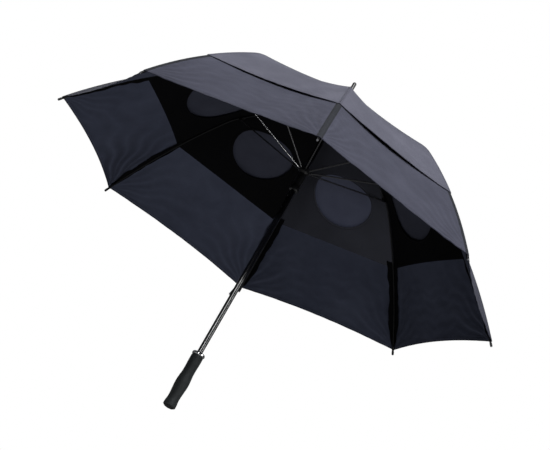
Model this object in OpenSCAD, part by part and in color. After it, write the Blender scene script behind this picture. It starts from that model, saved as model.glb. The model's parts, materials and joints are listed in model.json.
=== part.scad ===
// Golf umbrella with a vented double canopy, drawn open, in millimetres.
// Origin at the centre of the grip's bottom face, +Z up along the shaft,
// rib 1 points along +X and the others follow every 45 degrees.
// Each rib folds about the crown, its stretcher folds about the rib bracket,
// and the two links have the same length, so the runner travels straight down.

/* [Shaft and grip] */
// Height of the canopy's peak above the grip's bottom face
apex_z = 953; // [948:1:958]
// Outer diameter of the shaft tube
shaft_d = 14; // [13.6:0.1:14.2]
// Wall of the shaft tube
shaft_wall = 1.2; // [1:0.1:1.6]
// Length of the grip
grip_len = 147.5; // [144:0.5:150]
// Radius of the grip's foot, which a socket or holder takes
grip_foot_r = 16.4; // [16:0.1:17]
// Radius of the chrome collar above the grip
collar_r = 16.8; // [15.8:0.1:17.4]
// Height of the chrome collar
collar_h = 7.5; // [6:0.5:9]
// Diameter of the ferrule's tip
ferrule_d = 10; // [8:0.5:11]
// Length of the ferrule above the canopy
ferrule_len = 28; // [24:1:34]

/* [Rib frame] */
// Radius of the ring of pivots on the crown and the runner
pivot_r = 12; // [12:0.1:12.4]
// Crown pivots, below the canopy's peak
crown_drop = 12; // [11.5:0.5:13]
// Radius of the stretcher pivots when open
joint_r = 302; // [296:1:306]
// Stretcher pivots, below the canopy's peak
joint_drop = 131; // [128:1:134]
// Distance from the stretcher pivot out to the rib's centre line
joint_off = 5; // [5:0.1:5.4]
// Reverse bend of the inner rib, degrees
inner_bend = 7; // [5:0.5:8]
// Slope of the rib just outside the bracket, degrees
mid_slope = 35.5; // [34:0.5:37]
// Slope of the rib at its tip, degrees
tip_slope = 51.5; // [50:0.5:53]
// Radius from the shaft's centre line to the rib tips
tip_r = 614; // [605:1:620]
// Diameter of a rib rod
rib_d = 4; // [3.6:0.1:4]
// Diameter of a stretcher rod
stretcher_d = 3.6; // [3.2:0.1:3.6]
// Length of the runner below its pivots
runner_len = 60; // [54:1:64]

/* [Canopy] */
// Thickness of a fabric panel
cloth_t = 0.7; // [0.6:0.1:0.8]
// Lower canopy's mid surface above the rib's centre line
low_off = 4; // [3.9:0.1:4.2]
// Upper canopy's mid surface above the rib's centre line
top_off = 5.8; // [5.7:0.1:6.4]
// Inward sag of the lower canopy between two ribs
low_sag = 17.5; // [14:0.5:19]
// Inward sag of the upper canopy between two ribs
top_sag = 13.5; // [8:0.5:14]
// Depth of the concave hem between two ribs
hem_cut = 13.5; // [10:0.5:18]
// Radius of the upper canopy's edge on the ribs
vent_edge_r = 467; // [460:1:472]
// Radius of the seam between the black vent panel and the outer band
seam_r = 458; // [440:1:460]
// Radius of the round air vent in each vent panel
vent_r = 86; // [60:1:88]
// Radius at which the round vents are centred
vent_at_r = 346; // [338:1:350]

/* [Hidden] */
$fn = 48;

rib_count = 8;
rib_angle = 360 / rib_count;
half_angle = rib_angle / 2;
shaft_r = shaft_d / 2;
bore_r = shaft_r - shaft_wall;

// ---- linkage ----
crown_z = apex_z - crown_drop;
joint_z = apex_z - joint_drop;
runner_z = 2 * joint_z - crown_z;     // runner pivots: the isosceles link
runner_bottom = runner_z - runner_len;
link_run = joint_r - pivot_r;
link_drop = crown_z - joint_z;
link_len = sqrt(link_run * link_run + link_drop * link_drop);
link_slope = atan2(link_drop, link_run);
fold_max = 66;                        // full fold of the inner link
closed_runner_z = crown_z - 2 * link_len * cos(90 - link_slope - fold_max);

// ---- rib centre line ----
// Three tangent arcs from the crown pivot to the tip, in the (radius, z) plane.
// Slopes are degrees below the horizontal; "along" is the arc length from the crown pivot.
function radians(angle) = angle * PI / 180;
function normal(slope) = [sin(slope), cos(slope)];
function arc_len(chord, turn) = chord * radians(turn / 2) / sin(turn / 2);
// signed radius: positive where the slope steepens outwards
function arc_r(length, from, to) = length / radians(to - from);

crown_pivot = [pivot_r, crown_z];
runner_pivot = [pivot_r, runner_z];
stretcher_joint = [joint_r, joint_z];
rib_joint = stretcher_joint + joint_off * normal(link_slope);
inner_chord = rib_joint - crown_pivot;
inner_slope = atan2(-inner_chord[1], inner_chord[0]);
start_slope = inner_slope + inner_bend / 2;
joint_slope = inner_slope - inner_bend / 2;
inner_len = arc_len(norm(inner_chord), inner_bend);
bend_len = 45;
inner_arc_r = arc_r(inner_len, start_slope, joint_slope);
bend_arc_r = arc_r(bend_len, joint_slope, mid_slope);
bend_end = rib_joint + bend_arc_r * (normal(mid_slope) - normal(joint_slope));
outer_start = inner_len + bend_len;
outer_chord = (tip_r - bend_end[0]) / cos((mid_slope + tip_slope) / 2);
outer_len = arc_len(outer_chord, tip_slope - mid_slope);
outer_arc_r = arc_r(outer_len, mid_slope, tip_slope);
rib_len = outer_start + outer_len;

function slope_at(along) =
    along < inner_len ? start_slope + (joint_slope - start_slope) * along / inner_len
    : along < outer_start
        ? joint_slope + (mid_slope - joint_slope) * (along - inner_len) / bend_len
    : mid_slope + (tip_slope - mid_slope) * (along - outer_start) / outer_len;
function rib_at(along) =
    let (turned = normal(slope_at(along)))
    along < inner_len ? crown_pivot + inner_arc_r * (turned - normal(start_slope))
    : along < outer_start ? rib_joint + bend_arc_r * (turned - normal(joint_slope))
    : bend_end + outer_arc_r * (turned - normal(mid_slope));
// arc length at which the rib reaches a radius, by bisection
function along_at(radius, low = 0, high = rib_len, steps = 24) =
    let (middle = (low + high) / 2)
    steps == 0 ? middle
    : rib_at(middle)[0] < radius ? along_at(radius, middle, high, steps - 1)
    : along_at(radius, low, middle, steps - 1);

// ---- placing helpers ----
module raise(z) translate([0, 0, z]) children();
module at_rib(k) rotate([0, 0, (k - 1) * rib_angle]) children();
// middle of the panel between rib k and the next
module at_gore(k) rotate([0, 0, (k - 1) * rib_angle + half_angle]) children();
// local frame at a point of the (radius, z) plane: x along the slope, z out of the slope
module in_slope(point, slope)
    translate([point[0], 0, point[1]]) rotate([0, slope, 0]) children();
module x_cylinder(radius, length) rotate([0, 90, 0]) cylinder(r = radius, h = length);
module y_cylinder(radius, length)
    rotate([90, 0, 0]) cylinder(r = radius, h = length, center = true);
// plate in the x-z plane, centred on y = 0
module y_plate(outline, thickness)
    rotate([90, 0, 0]) raise(-thickness / 2)
        linear_extrude(height = thickness) polygon(outline);

// ---- shaft, grip and ferrule ----
shaft_bottom = 8;
catch_len = 34;
window_w = 2.8;
plug_r = bore_r - 0.05;
cap_r = grip_foot_r - 3.6;      // rim of the grip cap
cap_h = 2;
spigot_r = 9;                   // raised middle of the grip cap
spigot_top = 4;
foot_top = 9.8;                 // end of the grip's straight foot
contour_top = grip_len - 5;
contour_steps = 26;
grip_top_r = 15.3;
waist_r = 14.7;
belly_r = 17.25;
collar_bulge = 2.4;

// window for a catch spring, from z upwards
module catch_window(z)
    rotate([0, 0, half_angle]) translate([shaft_r - 3, -window_w / 2, z])
        cube([6, window_w, catch_len + 1.5]);
module shaft_tube() color([0.04, 0.04, 0.05]) difference() {
    raise(shaft_bottom) cylinder(r = shaft_r, h = apex_z - 6 - shaft_bottom, $fn = 64);
    raise(shaft_bottom - 1) cylinder(r = bore_r, h = apex_z, $fn = 64);
    catch_window(runner_bottom - catch_len);
    catch_window(closed_runner_z + 8.2);
}

// cosine blend between two radii, with the share held to 0..1
function ease(from, to, share) =
    from + (to - from) * (1 - cos(180 * max(0, min(1, share)))) / 2;
// grip contour: share of the grip's length, measured down from its top
function foam_r(share) =
    share < 0.27 ? ease(grip_top_r, waist_r, (share - 0.1) / 0.16)
    : share < 0.535 ? ease(waist_r, belly_r, (share - 0.3) / 0.235)
    : share < 0.83 ? ease(belly_r, waist_r, (share - 0.535) / 0.295)
    : ease(waist_r, grip_foot_r, (share - 0.83) / 0.1);
module grip_foam() color([0.17, 0.19, 0.20]) difference() {
    rotate_extrude($fn = 96) polygon(concat(
        [[0, cap_h], [grip_foot_r - 3.4, cap_h], [grip_foot_r - 1, 2.4],
         [grip_foot_r, 3.6], [grip_foot_r, foot_top]],
        [for (i = [1:contour_steps])
            let (z = foot_top + (contour_top - foot_top) * i / contour_steps)
            [foam_r(1 - z / grip_len), z]],
        [[15.1, grip_len - 3], [14.4, grip_len - 1], [13, grip_len], [0, grip_len]]));
    raise(shaft_bottom) cylinder(r = shaft_r, h = grip_len, $fn = 64);
    raise(-1) cylinder(r = spigot_r, h = spigot_top + 1, $fn = 64);
}
module grip_plug() color([0.06, 0.06, 0.07]) {
    rotate_extrude($fn = 64) polygon([
        [0, 0], [cap_r - 1, 0], [cap_r, 0.8], [cap_r, cap_h],
        [spigot_r, cap_h], [spigot_r, spigot_top], [0, spigot_top]]);
    raise(spigot_top) cylinder(r = plug_r, h = shaft_bottom - spigot_top);
    raise(shaft_bottom) cylinder(r = plug_r, h = 12);
}
module grip_collar() color([0.85, 0.85, 0.87]) raise(grip_len) difference() {
    core_r = collar_r - collar_bulge;
    rotate_extrude($fn = 96) polygon(concat(
        [[0, 0], [core_r, 0]],
        [for (angle = [-70:20:70])
            [core_r + collar_bulge * cos(angle), collar_h / 2 + (collar_h / 2 - 0.1) * sin(angle)]],
        [[core_r, collar_h], [0, collar_h]]));
    raise(-1) cylinder(r = shaft_r, h = collar_h + 2, $fn = 64);
}
module ferrule_tip() color([0.05, 0.05, 0.06]) difference() {
    tip_radius = ferrule_d / 2;
    union() {
        raise(apex_z + 0.6) cylinder(r1 = 9, r2 = 7.4, h = 2.2, $fn = 64);
        raise(apex_z + 2) cylinder(r = tip_radius + 0.8, h = 3, $fn = 64);
        raise(apex_z + 2) cylinder(r = tip_radius, h = ferrule_len - 2 - tip_radius, $fn = 64);
        raise(apex_z + ferrule_len - tip_radius) sphere(r = tip_radius, $fn = 64);
        // spigot down into the shaft tube
        raise(apex_z - 25) cylinder(r = bore_r, h = 27);
    }
    raise(apex_z - 30) cylinder(r = 3.2, h = 30);
}

// leaf catch: anchored inside the tube at its foot, its nose stands 3.4 mm proud
catch_outline = [                // x, z
    [-5.6, 0], [4.4, 0], [4.8, 14], [7.4, 16], [10.4, 31.4], [10.4, catch_len],
    [5.6, catch_len], [5.2, 31], [6.4, 28], [4.2, 20], [3.4, 1.2], [-5.6, 1.2]
];
module catch_leaf() color([0.65, 0.65, 0.68])
    rotate([0, 0, half_angle]) y_plate(catch_outline, 2);
module top_catch_leaf() raise(runner_bottom - catch_len - 0.3) catch_leaf();
module bottom_catch_leaf()
    raise(closed_runner_z + 8.3 + catch_len) mirror([0, 0, 1]) catch_leaf();

// ---- crown and runner ----
flange_r = pivot_r + 3.5;       // slotted flange that holds the rod eyes
hub_r = 9.2;
slot_w = 2.4;
wire_r = 0.6;
groove_r = wire_r + 0.03;
runner_body_r = 10.4;
runner_foot_r = 12.6;

module pivot_ring(z, radius)
    raise(z) rotate_extrude($fn = 96) translate([pivot_r, 0]) circle(r = radius, $fn = 24);
module ring_wire(z) color([0.6, 0.6, 0.62]) pivot_ring(z, wire_r);
module eye_slots(z, height)
    for (k = [1:rib_count]) at_rib(k)
        translate([8.6, -slot_w / 2, z]) cube([10, slot_w, height]);

module crown_notch() color([0.07, 0.07, 0.08]) difference() {
    union() {
        rotate_extrude($fn = 96) polygon([
            [0, crown_z - 3.4], [flange_r, crown_z - 3.4], [flange_r, crown_z + 1.4],
            [pivot_r + 1.2, crown_z + 3], [0, crown_z + 3]]);
        raise(crown_z - 12) cylinder(r = hub_r, h = 9, $fn = 64);
    }
    raise(crown_z - 20) cylinder(r = shaft_r, h = 40, $fn = 64);
    eye_slots(crown_z - 4, 10);
    pivot_ring(crown_z, groove_r);
}
module runner_sleeve() color([0.07, 0.07, 0.08]) difference() {
    union() {
        // flange and hub at the pivots
        raise(runner_z - 4) cylinder(r = flange_r, h = 7.4, $fn = 64);
        raise(runner_z - 1) cylinder(r = hub_r, h = 9, $fn = 64);
        // body, widening under the flange
        raise(runner_bottom + 8) cylinder(r = runner_body_r, h = runner_len - 10, $fn = 64);
        raise(runner_z - 9) cylinder(r1 = runner_body_r, r2 = pivot_r + 2, h = 5.2, $fn = 64);
        // wider foot with a chamfer below and a taper above
        raise(runner_bottom + 2) cylinder(r = runner_foot_r, h = 8, $fn = 64);
        raise(runner_bottom) cylinder(r1 = runner_foot_r - 1, r2 = runner_foot_r, h = 2, $fn = 64);
        raise(runner_bottom + 10)
            cylinder(r1 = runner_foot_r, r2 = runner_body_r, h = 5, $fn = 64);
        // raised bands round the body
        for (i = [0:3]) raise(runner_z - 22 - i * 5) cylinder(r = 11, h = 2, $fn = 64);
    }
    raise(runner_z - 100) cylinder(r = shaft_r + 0.06, h = 200, $fn = 64);
    eye_slots(runner_z - 3.2, 8);
    pivot_ring(runner_z, groove_r);
}

// ---- rib, bracket, stretcher ----
eye_w = 1.8;
eye_rod_start = 5.4;            // from the eye's pivot to the start of its rod
cheek_t = 1;
tip_fitting_at = rib_len - 6;   // arc length where the outer rod ends in its tip

// bracket pivots in the frame of the rib joint: the rib's, then the stretcher's
joint_step = stretcher_joint - rib_joint;
bracket_pivots = [
    [0, 0],
    [joint_step[0] * cos(joint_slope) - joint_step[1] * sin(joint_slope),
     joint_step[0] * sin(joint_slope) + joint_step[1] * cos(joint_slope)]
];
cheek_outline = [                // x, z
    [-12, -1.6], [-7, -6], [-2, -8], [2.2, -7.2], [3.6, -2], [3, 1.7], [-12, 1.7]
];

// piece of a bent rib rod between two slopes, beginning at a point
module bent_rod(start, from, to, bend_r) {
    centre = start - bend_r * normal(from);
    translate([centre[0], 0, centre[1]]) rotate([90, 0, 0])
        rotate([0, 0, bend_r > 0 ? 90 - to : 270 - from])
            rotate_extrude(angle = abs(to - from), $fn = 96)
                translate([abs(bend_r), 0]) circle(d = rib_d, $fn = 24);
}
// flattened end with an eye: x along the rod, pivot at the origin
module eye_end() difference() {
    union() {
        y_cylinder(2.2, eye_w);
        y_plate([[0, -2.1], [6, -1.9], [7, -1], [7, 1], [6, 1.9], [0, 2.1]], eye_w);
    }
    y_cylinder(0.7, eye_w + 2);
}
module bracket() {
    // sleeve crimped on the rod
    translate([-17, 0, 0.05]) x_cylinder(3.1, 12);
    // cheeks on both sides of the rod
    for (side = [-1, 1]) translate([0, side * 2.65, 0]) difference() {
        y_plate(cheek_outline, cheek_t);
        for (pin = bracket_pivots) translate([pin[0], 0, pin[1]]) y_cylinder(1, 3);
    }
    // rivets through both cheeks
    for (pin = bracket_pivots) translate([pin[0], 0, pin[1]]) {
        y_cylinder(0.95, 6.2);
        for (side = [-1, 1]) translate([0, side * 3.4, 0]) y_cylinder(1.5, 0.6);
    }
}
module rib_inner(k) at_rib(k) {
    color([0.12, 0.12, 0.13]) {
        in_slope(crown_pivot, slope_at(6)) eye_end();
        // rod from the eye to the inside of the bracket's sleeve
        bent_rod(rib_at(eye_rod_start), slope_at(eye_rod_start),
                 slope_at(inner_len - 11), inner_arc_r);
    }
    color([0.09, 0.09, 0.10]) in_slope(rib_joint, joint_slope) bracket();
}
module rib_outer(k) at_rib(k) color([0.12, 0.12, 0.13]) {
    rod_start = inner_len + 4;
    difference() {
        union() {
            bent_rod(rib_at(rod_start), slope_at(rod_start), mid_slope, bend_arc_r);
            bent_rod(bend_end, mid_slope, slope_at(tip_fitting_at), outer_arc_r);
            // end fitting with the eye for the bracket's rivet
            in_slope(rib_joint, joint_slope)
                translate([-2.2, 0, 0]) x_cylinder(rib_d / 2 + 0.05, 9);
            // fabric tie sleeve where the two bends meet
            in_slope(bend_end, mid_slope)
                translate([-2, 0, 0]) x_cylinder(rib_d / 2 + 0.25, 4);
        }
        in_slope(rib_joint, joint_slope) y_cylinder(1, 8);
    }
}
module rib_tip(k) at_rib(k) color([0.45, 0.46, 0.48])
    in_slope(rib_at(tip_fitting_at), slope_at(tip_fitting_at)) difference() {
        union() {
            translate([-7, 0, 0]) x_cylinder(2.9, 10);
            translate([-7, 0, 0]) x_cylinder(3.15, 1.6);
            translate([2, 0, 0]) x_cylinder(2.4, 10.6);
            translate([12.4, 0, 0]) sphere(r = 2.6, $fn = 32);
        }
        translate([-8, 0, 0]) x_cylinder(rib_d / 2 + 0.12, 8.1);
        // sewing hole for the fabric corner
        translate([5.6, 0, 0]) cylinder(r = 0.8, h = 12, center = true);
    }
// from the runner pivot up to the rib bracket
module stretcher(k) at_rib(k) color([0.14, 0.14, 0.15])
    in_slope(runner_pivot, -link_slope) {
        eye_end();
        translate([eye_rod_start, 0, 0])
            x_cylinder(stretcher_d / 2, link_len - eye_rod_start - 3);
        // outer end, bored for the bracket's rivet
        translate([link_len, 0, 0]) mirror([1, 0, 0]) difference() {
            union() {
                y_cylinder(2.3, 3.8);
                y_plate([[0, -2.3], [5, -1.8], [5, 1.8], [0, 2.3]], 3);
            }
            y_cylinder(1.02, 6);
        }
    }

// ---- canopy surface ----
gap = 0.4;                      // half the gap between neighbouring panels
seam_gap = 0.5;                 // half the gap at the seam
crown_run = 14;                 // fabric inwards of the crown pivot, at negative "along"
crown_cloth_r = 8.2;            // radius of the fabric lines at their inner end
sag_start = 20;                 // arc lengths between which the sag grows
sag_full = 330;
cells_across = 8;
vent_edge_at = along_at(vent_edge_r);
seam_at = along_at(seam_r);
vent_at = along_at(vent_at_r);
hem_at = rib_len - 5;
band_color = [0.16, 0.17, 0.23];

// lower and upper fabric lines over a rib, from the crown outwards
function low_line(along) =
    let (share = (along + crown_run) / crown_run, near = max(0, 1 - along / 26))
    along <= 0 ? [crown_cloth_r + 7.6 * share, crown_z + 4.6 + 0.1 * share]
    : rib_at(along) + (low_off + 1.4 * near * near) * normal(slope_at(along));
function top_line(along) =
    let (share = (along + crown_run) / crown_run, near = max(0, 1 - along / 40))
    along <= 0 ? [crown_cloth_r + 8.6 * share, apex_z - 0.4 - 1.2 * share]
    : rib_at(along) + (top_off + 5 * near * near) * normal(slope_at(along));
function line_at(along, upper) = upper ? top_line(along) : low_line(along);
function cloth_slope(along) = along <= 0 ? 8 : slope_at(along);
function sag_at(along, depth) = depth * (
    along <= sag_start ? 0
    : along < sag_full ? pow(sin((along - sag_start) / (sag_full - sag_start) * 90), 2)
    : 1 - 0.42 * (along - sag_full) / (rib_len - sag_full));
function cut_at(along) = along <= 0 ? 0 : hem_cut * pow(along / rib_len, 1.5);
function half_width(along, upper) = line_at(along, upper)[0] * sin(half_angle) - gap;
// point of a panel: y across, "along" the rib, "out" of the surface
function cloth(y, along, out, upper) =
    let (
        across = max(-1, min(1, y / half_width(along, upper))),
        bow = 1 - across * across,
        cut_along = along - cut_at(along) * bow,
        point = line_at(cut_along, upper),
        inward = sag_at(cut_along, upper ? top_sag : low_sag) * bow - out,
        slope = cloth_slope(cut_along)
    )
    [point[0] * cos(half_angle) - inward * sin(slope),
     across * half_width(cut_along, upper),
     point[1] - inward * cos(slope)];

// ---- canopy panels ----
// a quad as two triangles that share the diagonal a-c
function quad(a, b, c, d) = [[a, b, c], [a, c, d]];
// fabric solid over a grid of [y, along] rows; closed rows join their last point to the first
module sheet(grid, upper, closed, convexity) {
    rows = len(grid);
    cols = len(grid[0]);
    last_row = rows - 1;
    last_col = cols - 1;
    cells = closed ? cols : last_col;
    // side 0 is the outer face, side 1 the inner face
    function id(side, j, i) = (side * rows + j) * cols + i % cols;
    points = [for (out = [cloth_t / 2, -cloth_t / 2]) for (row = grid) for (spot = row)
        cloth(spot[0], spot[1], out, upper)];
    polyhedron(points = points, faces = concat(
        [for (j = [0:last_row - 1]) for (i = [0:cells - 1]) each
            quad(id(0, j, i), id(0, j, i + 1), id(0, j + 1, i + 1), id(0, j + 1, i))],
        [for (j = [0:last_row - 1]) for (i = [0:cells - 1]) each
            quad(id(1, j, i), id(1, j + 1, i), id(1, j + 1, i + 1), id(1, j, i + 1))],
        // edges along the first and last rows
        [for (i = [0:cells - 1]) each concat(
            quad(id(0, 0, i), id(1, 0, i), id(1, 0, i + 1), id(0, 0, i + 1)),
            quad(id(0, last_row, i), id(0, last_row, i + 1),
                 id(1, last_row, i + 1), id(1, last_row, i)))],
        // edges at both ends of open rows
        closed ? [] : [for (j = [0:last_row - 1]) each concat(
            quad(id(0, j, 0), id(0, j + 1, 0), id(1, j + 1, 0), id(1, j, 0)),
            quad(id(0, j, last_col), id(1, j, last_col),
                 id(1, j + 1, last_col), id(0, j + 1, last_col)))]
    ), convexity = convexity);
}
// plain panel between two arc lengths
module strip(from, to, steps, upper)
    sheet([for (j = [0:steps]) let (along = from + (to - from) * j / steps)
            [for (i = [0:cells_across])
                [(2 * i / cells_across - 1) * half_width(along, upper), along]]],
        upper = upper, closed = false, convexity = 6);
// panel with a round opening: rings between the opening and the panel's outline
module vent_panel(from, to) {
    // stations along the rib, closer together at the crown and at the bend
    stations = [
        from, 0, 5, 16, 60, 130, 200, 262,
        inner_len - 16, inner_len, inner_len + 15, inner_len + 30,
        outer_start, outer_start + 40, to - 50, to
    ];
    last = len(stations) - 1;
    // place of each ring, from the opening (0) out to the outline (1)
    shares = [0, 0.3, 0.58, 0.82, 0.918, 0.952, 0.966, 1];
    outline = concat(
        [for (i = [0:cells_across - 1])
            [(2 * i / cells_across - 1) * half_width(to, false), to]],
        [for (i = [0:last - 1]) let (along = stations[last - i])
            [half_width(along, false), along]],
        [[half_width(from, false), from], [0, from]],
        [for (i = [0:last - 1]) let (along = stations[i])
            [-half_width(along, false), along]]);
    opening = [for (spot = outline) let (angle = atan2(spot[0], spot[1] - vent_at))
        [vent_r * sin(angle), vent_at + vent_r * cos(angle)]];
    sheet([for (share = shares)
            [for (i = [0:len(outline) - 1]) opening[i] + (outline[i] - opening[i]) * share]],
        upper = false, closed = true, convexity = 8);
}
module lower_gore(k) at_gore(k) {
    color([0.01, 0.01, 0.012]) vent_panel(-10, seam_at - seam_gap);
    color(band_color) strip(seam_at + seam_gap, hem_at, steps = 7, upper = false);
}
module top_gore(k) at_gore(k) color([0.33, 0.34, 0.40])
    strip(-crown_run, vent_edge_at, steps = 12, upper = true);

// tie strap, folded back on itself, on the outside of one band panel near the hem
strap_w = 18;
strap_len = 120;
strap_t = 1.2;
strap_fold = 36;
module strap() color(band_color) at_gore(7)
    translate(cloth(0, hem_at - 34, cloth_t / 2 + 3, false))
        rotate([0, slope_at(hem_at - 46), 0]) {
            translate([-strap_w / 2, -strap_len / 2, 0]) cube([strap_w, strap_len, strap_t]);
            translate([-strap_w / 2, strap_len / 2 - strap_fold, strap_t])
                cube([strap_w, strap_fold, strap_t]);
        }

shaft_tube();  // shaft
grip_foam();  // grip
grip_plug();  // grip_cap
grip_collar();  // collar
crown_notch();  // crown
ring_wire(crown_z);  // crown_wire
ferrule_tip();  // ferrule
top_catch_leaf();  // top_catch
bottom_catch_leaf();  // bottom_catch
runner_sleeve();  // runner
ring_wire(runner_z);  // runner_wire
strap();  // tie_strap
rib_inner(1);  // rib_inner_1
rib_inner(2);  // rib_inner_2
rib_inner(3);  // rib_inner_3
rib_inner(4);  // rib_inner_4
rib_inner(5);  // rib_inner_5
rib_inner(6);  // rib_inner_6
rib_inner(7);  // rib_inner_7
rib_inner(8);  // rib_inner_8
rib_outer(1);  // rib_outer_1
rib_outer(2);  // rib_outer_2
rib_outer(3);  // rib_outer_3
rib_outer(4);  // rib_outer_4
rib_outer(5);  // rib_outer_5
rib_outer(6);  // rib_outer_6
rib_outer(7);  // rib_outer_7
rib_outer(8);  // rib_outer_8
rib_tip(1);  // rib_tip_1
rib_tip(2);  // rib_tip_2
rib_tip(3);  // rib_tip_3
rib_tip(4);  // rib_tip_4
rib_tip(5);  // rib_tip_5
rib_tip(6);  // rib_tip_6
rib_tip(7);  // rib_tip_7
rib_tip(8);  // rib_tip_8
stretcher(1);  // stretcher_1
stretcher(2);  // stretcher_2
stretcher(3);  // stretcher_3
stretcher(4);  // stretcher_4
stretcher(5);  // stretcher_5
stretcher(6);  // stretcher_6
stretcher(7);  // stretcher_7
stretcher(8);  // stretcher_8
lower_gore(1);  // lower_gore_1
lower_gore(2);  // lower_gore_2
lower_gore(3);  // lower_gore_3
lower_gore(4);  // lower_gore_4
lower_gore(5);  // lower_gore_5
lower_gore(6);  // lower_gore_6
lower_gore(7);  // lower_gore_7
lower_gore(8);  // lower_gore_8
top_gore(1);  // top_gore_1
top_gore(2);  // top_gore_2
top_gore(3);  // top_gore_3
top_gore(4);  // top_gore_4
top_gore(5);  // top_gore_5
top_gore(6);  // top_gore_6
top_gore(7);  // top_gore_7
top_gore(8);  // top_gore_8
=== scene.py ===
# An open folding umbrella with a vented double canopy. The shaft stands on the Z axis with the
# crown at the top. Rib 1 points along +X and the other ribs follow anticlockwise, seen from above.
# Gore k is the canopy panel between ribs k and k + 1; half "a" lies beside rib k, half "b"
# beside rib k + 1. Shapes are worked out in millimetres and built in metres.
import bpy, bmesh, json, math
import numpy as np
from types import SimpleNamespace
from mathutils import Vector, Matrix
from mathutils.geometry import delaunay_2d_cdt
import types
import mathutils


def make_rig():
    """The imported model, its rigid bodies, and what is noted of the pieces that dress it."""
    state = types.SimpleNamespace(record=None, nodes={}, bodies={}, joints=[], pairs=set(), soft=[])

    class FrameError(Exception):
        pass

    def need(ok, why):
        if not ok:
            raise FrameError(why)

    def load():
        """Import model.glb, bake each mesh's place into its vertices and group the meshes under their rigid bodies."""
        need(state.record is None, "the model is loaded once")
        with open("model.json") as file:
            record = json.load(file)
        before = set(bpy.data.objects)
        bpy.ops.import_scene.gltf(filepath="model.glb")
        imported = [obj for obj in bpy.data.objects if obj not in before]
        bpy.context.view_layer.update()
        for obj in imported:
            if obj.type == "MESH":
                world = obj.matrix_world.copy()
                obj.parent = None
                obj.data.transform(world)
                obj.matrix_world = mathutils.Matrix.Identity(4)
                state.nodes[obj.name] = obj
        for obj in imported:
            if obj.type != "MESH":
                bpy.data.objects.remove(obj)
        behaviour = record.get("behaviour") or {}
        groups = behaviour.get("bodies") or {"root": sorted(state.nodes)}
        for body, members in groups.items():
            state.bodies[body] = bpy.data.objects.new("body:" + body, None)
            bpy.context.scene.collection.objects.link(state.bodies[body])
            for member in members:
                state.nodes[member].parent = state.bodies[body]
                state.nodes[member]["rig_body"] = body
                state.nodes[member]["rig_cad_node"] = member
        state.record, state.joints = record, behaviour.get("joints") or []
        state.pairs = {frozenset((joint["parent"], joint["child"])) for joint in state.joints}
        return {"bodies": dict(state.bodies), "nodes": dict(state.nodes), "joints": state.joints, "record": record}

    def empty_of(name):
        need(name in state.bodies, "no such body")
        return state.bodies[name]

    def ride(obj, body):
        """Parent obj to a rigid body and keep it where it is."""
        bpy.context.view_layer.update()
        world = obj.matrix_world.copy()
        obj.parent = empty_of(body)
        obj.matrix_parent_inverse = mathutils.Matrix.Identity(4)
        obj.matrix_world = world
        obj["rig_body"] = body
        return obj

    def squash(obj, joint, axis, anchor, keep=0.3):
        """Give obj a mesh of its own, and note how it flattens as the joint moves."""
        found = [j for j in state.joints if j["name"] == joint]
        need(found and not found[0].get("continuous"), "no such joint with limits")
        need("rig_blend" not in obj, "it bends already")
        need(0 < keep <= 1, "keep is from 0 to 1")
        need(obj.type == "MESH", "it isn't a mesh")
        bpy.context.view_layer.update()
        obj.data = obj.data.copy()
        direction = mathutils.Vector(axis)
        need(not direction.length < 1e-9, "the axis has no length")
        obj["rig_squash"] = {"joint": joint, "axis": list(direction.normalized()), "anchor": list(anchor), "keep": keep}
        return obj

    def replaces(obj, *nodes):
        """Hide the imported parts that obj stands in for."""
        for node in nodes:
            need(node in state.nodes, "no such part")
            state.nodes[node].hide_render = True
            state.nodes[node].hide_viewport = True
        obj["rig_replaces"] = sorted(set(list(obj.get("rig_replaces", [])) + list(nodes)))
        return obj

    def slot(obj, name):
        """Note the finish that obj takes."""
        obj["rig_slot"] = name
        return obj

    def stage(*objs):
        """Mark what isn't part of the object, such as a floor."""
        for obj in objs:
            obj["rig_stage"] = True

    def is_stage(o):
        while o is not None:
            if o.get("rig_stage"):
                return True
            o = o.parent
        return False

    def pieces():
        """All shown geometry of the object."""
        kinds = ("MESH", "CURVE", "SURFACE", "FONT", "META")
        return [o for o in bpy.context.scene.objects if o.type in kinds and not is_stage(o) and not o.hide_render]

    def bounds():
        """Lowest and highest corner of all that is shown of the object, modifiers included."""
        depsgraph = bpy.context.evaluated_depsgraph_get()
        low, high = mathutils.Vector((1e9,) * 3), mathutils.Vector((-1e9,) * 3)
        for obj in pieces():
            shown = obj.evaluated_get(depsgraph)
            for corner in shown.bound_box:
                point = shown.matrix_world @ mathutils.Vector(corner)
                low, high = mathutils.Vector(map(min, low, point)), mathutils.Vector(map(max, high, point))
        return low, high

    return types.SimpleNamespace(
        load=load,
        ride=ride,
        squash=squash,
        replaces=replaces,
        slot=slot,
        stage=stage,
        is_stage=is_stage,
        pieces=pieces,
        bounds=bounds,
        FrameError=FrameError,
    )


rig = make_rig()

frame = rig.load()
scene = bpy.context.scene
rad = math.radians


def plain(box):
    return [[float(x) for x in box[0]], [float(x) for x in box[1]]]


cad_box = plain(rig.bounds())

# ---------------------------------------------------------------- driving dimensions (mm)
MM = 0.001
RIBS = 8
RIB_STEP = 2 * math.pi / RIBS
HALF_GORE = rad(360 / RIBS / 2)
HALVES = [(gore, side, rib, tag) for gore in range(1, RIBS + 1)
          for side, rib, tag in ((1, gore, "a"), (-1, gore % RIBS + 1, "b"))]

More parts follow.
